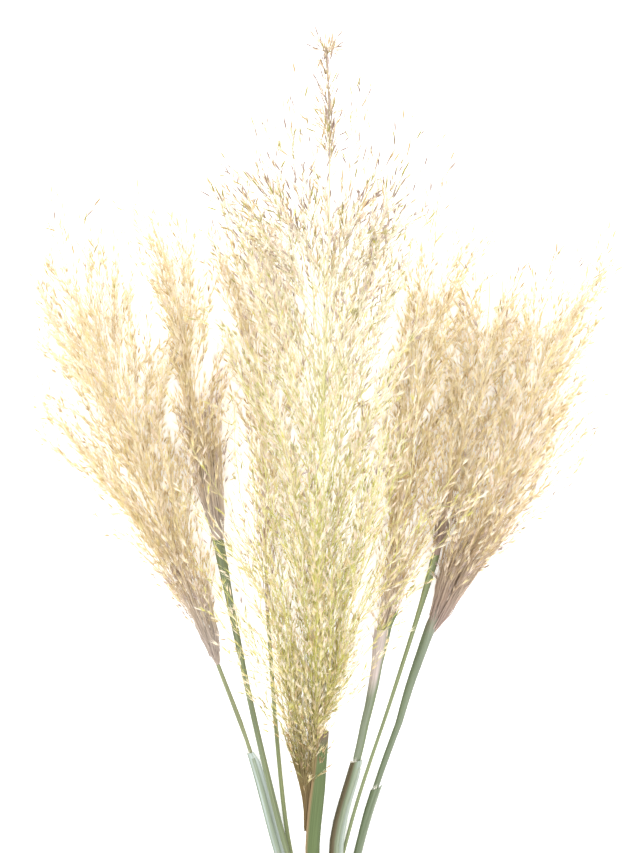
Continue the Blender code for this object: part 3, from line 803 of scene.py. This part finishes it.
def grow_plume(stalk, seed, bark, branches, foot_to, reach, crown, shoulder, spread, step, twig,
               spikelet_step, size, kinds, scales, thickness=0.5, pieces=1, spike=None,
               strands=0, sheaf=None, loose=(), reshape=((0, 0, 0), (1, 0, 0)), parting=(0, 0),
               nod=0, turn_off=(10, 32), bare_from=2, stragglers=None, upward=0.66):
    """Grows one plume in its CAD node's outline. Heights are parts of the plume's length.
    seed: of its random draws.  bark: its branches' material.  branches: their number.
    foot_to: the highest foot of a branch.  reach: how far up a branch runs, lowest and highest.
    crown: the highest end of a branch.  shoulder: the outline keeps its width above this.
    spread: the least and greatest part of the way out to the outline that a branch ends at.
    step, twig: the millimetres between branchlets and the length of the longest.
    spikelet_step: the millimetres between spikelets.  size: theirs, as a share of their models'.
    kinds: the shares of closed, open and downy spikelets.  scales: their colours by height.
    thickness: the radius of a long branch's foot in millimetres.
    pieces: how many meshes it is split into, by the height of its spikelets.
    spike: the tip's own short branches: number, lowest foot, run, greatest reach in millimetres.
    strands: branches that start at the plume's very foot and lie close together there.
    sheaf: the fine bare hairs of its foot: their number, and rows of height and of millimetres
    out to the left and to the right.
    loose: single branches: foot, end, millimetres to the right and up, number of branchlets.
    reshape: at each height, millimetres the outline is let out to the left and to the right.
    parting: how far the branches lean to either side, at the plume's foot and at its top.
    nod: millimetres a branch's end bends outward.  turn_off: the degrees branchlets turn off by.
    bare_from: spikelets above this are bare.  upward: under 1, more branches start high than low.
    stragglers: thin branches out of the crown: their number, and where their ends are, as rows
    of height and millimetres to the left and right."""
    chance = numpy.random.default_rng(seed)
    node = "plume_" + stalk
    levels = cad_levels(node)
    ys = numpy.array(sorted(levels))
    outline = numpy.array([(*numpy.min(levels[y], axis=0), *numpy.max(levels[y], axis=0))
                           for y in ys])
    culm_rows = cross_sections("culm_" + stalk)
    culm_radius = culm_rows[-1, 3]
    base, length = ys[0], ys[-1] - ys[0]

    # The central stalk goes on from the culm through the middle of the outline to its tip.
    culm_end = culm_rows[-1, 0]
    knots = numpy.array([-CULM_JOIN / length, 0, 0.45, 0.75, 1])
    middles = [at(culm_rows, culm_end - CULM_JOIN)[:2], at(culm_rows, culm_end)[:2]]
    middles += [[numpy.interp(base + k * length, ys, (outline[:, c] + outline[:, c + 2]) / 2)
                 for c in (0, 1)] for k in knots[2:]]
    curve = numpy.polyfit(knots, numpy.array(middles), 4)

    def rachis(parts):
        """Points of the central stalk."""
        xz = sum(curve[k] * parts[..., None] ** (4 - k) for k in range(5))
        return numpy.stack([xz[..., 0], base + parts * length, xz[..., 1]], axis=-1)

    def way_out(parts, angles):
        """How far the outline is from the central stalk, at angles round it."""
        parts = numpy.clip(parts, 0, shoulder)
        axis, y = rachis(parts), base + parts * length
        left, low, right, high = (numpy.interp(y, ys, outline[:, k]) for k in range(4))
        levels, more_left, more_right = numpy.array(reshape).T
        left = left - numpy.interp(parts, levels, more_left) * MM
        right = right + numpy.interp(parts, levels, more_right) * MM
        across = numpy.where(numpy.cos(angles) > 0, right - axis[..., 0], axis[..., 0] - left)
        upward = numpy.where(numpy.sin(angles) > 0, high - axis[..., 2], axis[..., 2] - low)
        across, upward = numpy.maximum(across, 3 * MM), numpy.maximum(upward, 3 * MM)
        return 1 / numpy.sqrt((numpy.cos(angles) / across) ** 2 + (numpy.sin(angles) / upward) ** 2)

    # Branches, set round the central stalk by the golden angle, each arching out to its own end.
    # The first are the strands, which all start at the foot.
    order = ((numpy.arange(branches) + 0.5) / branches) ** upward
    order = numpy.concatenate([chance.random(strands), order])
    branches += strands
    foot = order * foot_to
    foot[:strands] = chance.uniform(0, 0.03, strands)
    angle = numpy.arange(branches) * GOLDEN_ANGLE + chance.normal(0, 0.25, branches)
    lean = parting[0] + (parting[1] - parting[0]) * order
    angle -= lean * 0.5 * numpy.sin(2 * angle)
    run = (reach[0] + (reach[1] - reach[0]) * foot / foot_to) * chance.uniform(0.45, 1.0, branches)
    run[:strands] = chance.uniform(0.12, 0.56, strands)
    end = numpy.minimum(foot + run, crown + chance.uniform(-0.05, 0.02, branches))
    out = spread[0] + (spread[1] - spread[0]) * numpy.sqrt(chance.random(branches))
    t = numpy.linspace(0, 1, BRANCH_POINTS)[None]
    heights = foot[:, None] + (end - foot)[:, None] * t
    part_out = out[:, None] * t ** 0.9
    packed = chance.uniform(0.3, 0.95, (strands, 1))
    part_out[:strands] = packed + (out[:strands, None] - packed) * t
    angles = angle[:, None] + chance.normal(0, 0.25, (branches, 1)) * t
    away = way_out(heights, angles) * part_out
    away[:strands, 0] = culm_radius * 0.9
    away += nod * MM * t ** 2.5
    lines = rachis(heights)
    lines[..., 0] += numpy.cos(angles) * away
    lines[..., 2] += numpy.sin(angles) * away
    if spike:
        number, lowest, climb, widest = spike
        spike_foot = lowest + (0.985 - lowest) * chance.random(number) ** 1.7
        spike_end = numpy.minimum(spike_foot + climb * chance.uniform(0.5, 1.1, number), 0.97)
        spike_height = spike_foot[:, None] + (spike_end - spike_foot)[:, None] * t
        spike_turn = chance.uniform(0, math.tau, (number, 1))
        spike_away = t * chance.uniform(0.2, 1, (number, 1)) * widest * MM
        extra = rachis(spike_height)
        extra[..., 0] += numpy.cos(spike_turn) * spike_away
        extra[..., 2] += numpy.sin(spike_turn) * spike_away
        lines, heights = numpy.vstack([lines, extra]), numpy.vstack([heights, spike_height])
    # The stragglers and the loose branches are thinner, with branchlets of a set number at most.
    thick_lines = len(lines)
    few = numpy.full(thick_lines, 10 ** 6)
    if stragglers:
        rows = numpy.array(stragglers[1])
        loose = list(loose)
        for _ in range(stragglers[0]):
            top = chance.uniform(rows[0, 0], rows[-1, 0])
            side = chance.integers(1, 3)
            loose.append((top - chance.uniform(0.28, 0.4), top,
                          numpy.interp(top, rows[:, 0], rows[:, side]) * chance.uniform(0.45, 1.0),
                          chance.normal(0, 12), chance.integers(5, 9)))
    for loose_foot, loose_end, right, high, number in loose:
        path = loose_foot + (loose_end - loose_foot) * t[0]
        extra = rachis(numpy.minimum(path, 1))
        extra[:, 1] = base + path * length
        extra += numpy.outer(t[0] ** 1.15, (right * MM, 0, high * MM))
        lines, heights = numpy.vstack([lines, extra[None]]), numpy.vstack([heights, path[None]])
        few = numpy.append(few, number)
    total = len(lines)
    waver = chance.normal(0, 1.4 * MM, (total, 1, 3)) * (1, 0.3, 1)
    along = t[..., None]
    lines += waver * numpy.sin(along * 8 + chance.uniform(0, 6, (total, 1, 1))) * along
    lines[..., 2] = numpy.maximum(lines[..., 2], LOWEST_BRANCH)
    lines[..., 0] = numpy.clip(lines[..., 0], -WIDEST, WIDEST)
    spans = numpy.linalg.norm(numpy.diff(lines, axis=1), axis=2).sum(axis=1)
    lots = chance.uniform(0.02, 0.98, total)
    taper = (1 - 0.62 * t) * thickness * MM * numpy.sqrt(spans / spans.max())[:, None]
    taper[thick_lines:] *= 0.6
    parts = [rods(lines, taper, heights, lots, 4)]

    # The central stalk, as thick as its culm at its foot and a thread at its tip.
    stem = numpy.linspace(0, 0.99, RACHIS_POINTS)
    stem_radius = numpy.interp(stem, [0, 0.1, 0.45, 0.7, 1],
                               numpy.array([1, 0.6, 0.3, 0.15, 0.1]) * culm_radius)
    parts.append(rods(rachis(stem)[None], stem_radius[None], stem[None], numpy.array([0.25]), 8))

    # Fine bare hairs close up the foot. Each keeps its own place between the sheaf's two edges.
    if sheaf:
        number, edges = sheaf
        levels, to_left, to_right = numpy.array(edges).T
        start = chance.uniform(0, 0.35, number) * levels[-1]
        finish = numpy.maximum(chance.uniform(0.35, 1.0, number) * levels[-1], start + 0.02)
        hair_height = start[:, None] + (finish - start)[:, None] * numpy.linspace(
            0, 1, HAIR_POINTS)
        place = chance.uniform(0, 1, (number, 1))
        deep = numpy.sqrt(place - place ** 2) * chance.uniform(-1, 1, (number, 1))
        left, right = (numpy.interp(hair_height, levels, edge) for edge in (to_left, to_right))
        hairs = rachis(hair_height)
        hairs[..., 0] += ((left + right) * place - left) * MM
        hairs[..., 2] += deep * (left + right) * 0.8 * MM
        hairs += chance.normal(0, 0.35 * MM, hairs.shape)
        hairs[..., 2] = numpy.maximum(hairs[..., 2], LOWEST_HAIR)
        fine = numpy.linspace(0.55, 0.2, HAIR_POINTS) * MM * chance.uniform(0.7, 1.2, (number, 1))
        parts.append(rods(hairs, fine, hair_height, chance.uniform(0.02, 0.98, number)))

    # Branchlets leave each branch on every side in turn, above its bare foot, and are longest low
    # on it.
    sparse = numpy.where(numpy.arange(total) < strands, 0.6, 1.0)
    counts = numpy.minimum(numpy.maximum(2, (sparse * spans / (step * MM)).astype(int)), few)
    which = numpy.repeat(numpy.arange(total), counts)
    place = numpy.concatenate([(numpy.arange(n) + 0.7) / n for n in counts])
    bare = numpy.where(numpy.arange(total) < strands, 0.3, 0.2)
    bare[thick_lines:] = 0.4
    bare = bare[which]
    place = numpy.clip(bare + (1 - bare) * place, 0, 0.995)
    origin, way = on_line(lines, which, place)
    twist = numpy.arange(len(which)) * GOLDEN_ANGLE + chance.normal(0, 0.4, len(which))
    way = off_by(way, numpy.radians(chance.uniform(*turn_off, len(which))), twist)
    long = twig * MM * (1 - 0.6 * place) * chance.uniform(0.55, 1.15, len(which))
    long = numpy.maximum(numpy.minimum(long, spans[which] * 0.6), 6 * MM)
    way = above_card(origin, way, long)
    stray = chance.normal(0, 0.09, (len(which), 3)) * long[:, None]
    small = numpy.stack([origin, origin + way * long[:, None] * 0.5,
                         origin + way * long[:, None] + stray], axis=1)
    small[..., 2] = numpy.maximum(small[..., 2], LOWEST_TWIG)
    thin = numpy.array([[0.24, 0.2, 0.12]]) * MM * numpy.ones((len(which), 1))
    parts.append(rods(small, thin, (small[..., 1] - base) / length,
                      numpy.clip(lots[which] + chance.normal(0, 0.1, len(which)), 0.02, 0.98)))

    # Spikelets stand along each branchlet and at its end.
    counts = numpy.maximum(1, (long / (spikelet_step * MM)).astype(int)) + 1
    on = numpy.repeat(numpy.arange(len(which)), counts)
    along = numpy.concatenate([numpy.linspace(0.25, 1.0, n) for n in counts])
    spot, way = on_line(small, on, numpy.minimum(along, 0.999))
    lean = numpy.radians(chance.uniform(5, 26, len(on)) * numpy.where(along == 1, 0.3, 1))
    way = off_by(way, lean, chance.uniform(0, math.tau, len(on)))
    grown = size * chance.uniform(0.72, 1.18, len(on))
    way = above_card(spot, way, SPIKELET_LENGTH * grown)
    high = numpy.clip((spot[:, 1] - base) / length, 0, 1)
    tones = pick_tones(chance, high, scales)
    kind = numpy.searchsorted(numpy.cumsum(kinds) / sum(kinds), chance.random(len(on)))
    kind[high + chance.normal(0, 0.03, len(on)) > bare_from] = BARE
    rolls = chance.uniform(0, math.tau, len(on))
    group = numpy.searchsorted(numpy.quantile(high, numpy.arange(1, pieces) / pieces), high)
    for k in range(pieces):
        members = list(parts) if k == 0 else []
        for model_kind, model in spikelet_models.items():
            some = (kind == model_kind) & (group == k)
            if some.any():
                members.append(copies(model, spot[some], way[some], rolls[some], grown[some],
                                      tones[some]))
        name = stalk + "_plume" + (f"_{k + 1}" if pieces > 1 else "")
        plume = join_arrays(name, members)
        for material in (bark, papery_scale, silky_hair):
            plume.data.materials.append(material)
        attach(plume, "root")
        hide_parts(node)


# The centre plume is the largest and the greenest: lime branches, cream and olive spikelets,
# and a slim tan spike at its tip.
green_branch = branch_material(
    "green grass branch",
    ("#7E6C48", "#ADA468", "#CDD36A", "#D6DC7C", "#DADF8C", "#DDE09A", "#E3E2B0", "#E6E2C4",
     "#D6CBA8", "#B3A084"),
    ("#8E7A58", "#B6A878", "#DCCF90", "#E3D8A0", "#E9DEB2", "#EBE2BE", "#EFE7CC", "#F0EAD8",
     "#D6C6AC", "#AA9280"))
CENTRE_SCALES = {
    0.0: {BROWN: 5, TAN: 1.5},
    0.09: {BROWN: 4, TAN: 3, STRAW: 1, OLIVE: 2},
    0.13: {STRAW: 5, LIME: 2.5, TAN: 2.5, OLIVE: 2, IVORY: 1},
    0.27: {IVORY: 3, STRAW: 4, LIME: 1.8, PINK: 2, TAN: 1, OLIVE: 1.6, WHITE: 2.5},
    0.5: {IVORY: 3, WHITE: 5, PINK: 4, LIME: 1.2, STRAW: 1.2, OLIVE: 1.5, TAN: 0.8, MAUVE: 1},
    0.68: {IVORY: 2, WHITE: 4, PINK: 5, STRAW: 1, LIME: 0.6, OLIVE: 2, TAN: 1.4, MAUVE: 2.4},
    0.8: {PINK: 3, TAN: 2.5, MAUVE: 3.5, IVORY: 1.5, OLIVE: 2, PURPLE: 1},
    1.0: {TAN: 2.5, MAUVE: 4, PINK: 3, PURPLE: 1, OLIVE: 1, IVORY: 1}}
grow_plume("centre", seed=21, bark=green_branch, branches=138, foot_to=0.7, reach=(0.36, 0.2),
           crown=0.81, shoulder=0.74, spread=(0.25, 1.0), step=8.0, twig=28, spikelet_step=6.2,
           size=0.95, kinds=(0.5, 0.3, 0.2), scales=CENTRE_SCALES, pieces=4, nod=6,
           spike=(44, 0.812, 0.035, 4.5), strands=58, parting=(0.2, 0.9), bare_from=0.77,
           turn_off=(8, 27),
           sheaf=(260, ((0, 7.5, -5), (0.037, 8.5, -5), (0.05, 9.5, -4), (0.068, 13, -2),
                        (0.086, 16.5, 1), (0.105, 20.5, 4), (0.123, 25, 8), (0.15, 31, 14))),
           reshape=((0, 0, 0), (0.12, -2, -8), (0.2, -11, -14), (0.3, -11, -17), (0.36, -2, -17),
                    (0.46, 4, -12), (0.56, 6, -20), (0.8, 4, -22), (1, 2, -16)),
           stragglers=(32, ((0.74, -98, 100), (0.8, -84, 100), (0.86, -60, 92), (0.9, -44, 40),
                            (0.94, -20, 24))),
           loose=((0.2, 0.47, 143, 10, 17), (0.17, 0.42, 126, 2, 15), (0.2, 0.46, 108, 22, 12),
                  (0.12, 0.36, -106, 8, 12), (0.1, 0.3, -92, 0, 11), (0.08, 0.24, -74, 10, 10),
                  (0.2, 0.44, -110, 14, 12), (0.14, 0.34, -84, 22, 12), (0.1, 0.27, -70, -8, 10),
                  (0.16, 0.4, -98, -4, 13), (0.05, 0.2, -60, 6, 10), (0.22, 0.5, -112, 0, 13),
                  (0.12, 0.3, -80, -12, 12), (0.18, 0.42, -90, 16, 13), (0.14, 0.34, 92, 6, 12),
                  (0.18, 0.42, 100, -2, 13), (0.1, 0.27, 70, 4, 10)))

# The plumes round it are paler and downier, cream to peach, on straw-coloured branches.
STRAW_TOP = ("#E6D3A6", "#EAD9B0", "#EDDDB8", "#F0E3C4", "#F3E8CE", "#F0E0C2", "#E2CBA4")
IVORY_TOP = ("#EBDCBA", "#F0E2C4", "#F2E6CC", "#F4EAD4", "#F6EEDA", "#F0E4CC", "#E6D2B0")
straw_branch = branch_material("straw grass branch", ("#A08A80", "#BBA48F", "#D3BC94", *STRAW_TOP),
                               ("#BBA89E", "#D2C0AA", "#DCC6A4", *IVORY_TOP))
pale_branch = branch_material("pale grass branch", ("#B0A096", "#CBB8A2", "#D8C49E", *STRAW_TOP),
                              ("#CABDB4", "#DACBB8", "#DFCDAE", *IVORY_TOP))
SIDE_SCALES = {0.0: {PURPLE: 3, MAUVE: 4, PINK: 3}, 0.14: {PINK: 3, MAUVE: 2, STRAW: 2, TAN: 2},
               0.3: {IVORY: 2.5, PINK: 1.6, STRAW: 7, WHITE: 0.8, TAN: 3.2},
               0.75: {IVORY: 3, PINK: 2.2, STRAW: 6, WHITE: 1, TAN: 2},
               1.0: {IVORY: 3, PINK: 3, STRAW: 5, WHITE: 1, TAN: 2.4, MAUVE: 1, OLIVE: 0.8}}
RIGHT_SCALES = {**SIDE_SCALES, 0.14: {PINK: 3, MAUVE: 4, STRAW: 1, TAN: 1.5, PURPLE: 0.6},
                0.3: {IVORY: 2.5, PINK: 3, STRAW: 5, WHITE: 0.8, TAN: 2.6, MAUVE: 1.8}}
SHADED_SCALES = {0.0: {PURPLE: 1, MAUVE: 5, PINK: 4},
                 0.15: {MAUVE: 4, PINK: 5, TAN: 1.5, IVORY: 1},
                 0.4: {TAN: 3, MAUVE: 1.5, STRAW: 5, PINK: 3, IVORY: 1},
                 0.65: {TAN: 2.4, STRAW: 6, IVORY: 1.5, PINK: 1},
                 1.0: {IVORY: 3, PINK: 2.4, STRAW: 5, WHITE: 1, TAN: 1.2}}
# Tones of the right inner plume, which lies behind the centre one: the tan that is heaviest a third of
# the way up is painted shade.
INNER_SHADED_SCALES = {0.0: {PINK: 5, WHITE: 2, MAUVE: 2}, 0.15: {PINK: 4, IVORY: 2, TAN: 1.5, MAUVE: 1},
                0.35: {TAN: 4, STRAW: 5, PINK: 1}, 0.7: {TAN: 2.4, STRAW: 6, IVORY: 1.5, PINK: 1},
                1.0: {IVORY: 3, PINK: 2.4, STRAW: 5, WHITE: 1, TAN: 1.2}}
SIDE_KINDS = (0.2, 0.3, 0.5)
SIDE_PLUMES = {
    # seed, branches, strands, spread, highest end, colours; how far the outline is let out to the
    # left and right by height; the hairs of the foot and their edges
    "left_front": (31, 86, 24, (0.4, 1.05), 1.0, SIDE_SCALES,
                   ((0, 0, 2), (0.1, -6, 0), (0.15, -8, -4), (0.2, -3, -5), (0.27, 8, 0), (0.36, 28, 6),
                    (0.45, 38, 11), (0.6, 38, 26), (0.75, 18, 38), (1, 0, 46)),
                   (130, ((0, 2, 2), (0.03, 4.5, 6), (0.07, 6.5, 11), (0.13, 7, 15), (0.22, 15, 24)))),
    "right_front": (32, 88, 24, (0.4, 1.05), 1.02, RIGHT_SCALES,
                    ((0, 2, 2), (0.1, 6, 2), (0.15, 6, -2), (0.27, 6, 2), (0.36, 12, 20),
                     (0.45, 12, 26), (0.6, 10, 17), (0.75, 12, 2), (1, 18, -10)),
                    (250, ((0, 2.5, 4), (0.03, 4, 9), (0.06, 7, 12), (0.1, 11, 14), (0.15, 17, 17),
                           (0.22, 26, 22), (0.36, 38, 34)))),
    "right_inner": (33, 58, 14, (0.4, 1.05), 0.98, INNER_SHADED_SCALES,
                    ((0, 0, 0), (0.05, -3, 0), (0.1, -7, 0), (0.2, -15, 2), (0.25, -15, 10),
                     (0.3, -15, 13), (0.4, -17, 13), (0.7, -23, 15), (1, -22, 20)),
                    (60, ((0, 2, 2), (0.1, 5, 5), (0.22, 10, 14)))),
    "left_back": (34, 44, 16, (0.2, 1.0), 0.93, SHADED_SCALES,
                  ((0, 0, -2), (0.1, -4, -2), (0.2, -8, -2), (0.4, -16, 0), (0.6, -26, 3),
                   (0.8, -34, 0), (1, -34, -6)),
                  (210, ((0, 4, 5), (0.06, 7, 10), (0.12, 8, 12), (0.2, 8, 15), (0.3, 9, 19),
                         (0.42, 10, 22)))),
    "back": (35, 42, 6, (0.3, 1.0), 1.0, SIDE_SCALES,
             ((0, -8, -4), (0.3, -26, -4), (0.6, -14, 0), (0.72, -16, 0), (1, -8, 0)), None),
    "right_back": (36, 62, 10, (0.4, 1.05), 1.03, SIDE_SCALES,
                   ((0, 0, 0), (0.2, 5, 2), (0.4, 8, 4), (0.7, 12, 4), (1, 16, 8)),
                   (60, ((0, 3, 3), (0.1, 7, 6), (0.25, 14, 14)))),
}
# Single branches that hang out of the left front plume, as in the centre one.
SIDE_LOOSE = {"left_front": ((0.42, 0.88, 44, 2, 13), (0.36, 0.8, 48, -6, 13),
                             (0.46, 0.96, 38, 6, 11), (0.34, 0.72, 42, 4, 12),
                             (0.5, 0.9, 24, -4, 10), (0.28, 0.62, -66, 4, 12),
                             (0.24, 0.56, -60, -4, 12), (0.3, 0.58, -72, 8, 10))}
SIDE_STRAGGLERS = (10, ((0.82, -38, 38), (1.05, -16, 16)))
PALE_STALKS = ("left_front", "left_back", "right_inner")
for stalk, (seed, branches, strands, spread, crown, tones, reshape, sheaf) in SIDE_PLUMES.items():
    bark = pale_branch if stalk in PALE_STALKS else straw_branch
    grow_plume(stalk, seed=seed, bark=bark, branches=branches, foot_to=0.7,
               reach=(0.46, 0.28), crown=crown, shoulder=0.84, spread=spread, step=8.2, twig=25,
               spikelet_step=6.9, size=1.0, kinds=SIDE_KINDS, scales=tones, strands=strands,
               sheaf=sheaf, reshape=reshape, parting=(0.1, 0.4), nod=10, turn_off=(6, 20),
               upward=0.8, bare_from=0.93, loose=SIDE_LOOSE.get(stalk, ()),
               stragglers=SIDE_STRAGGLERS)
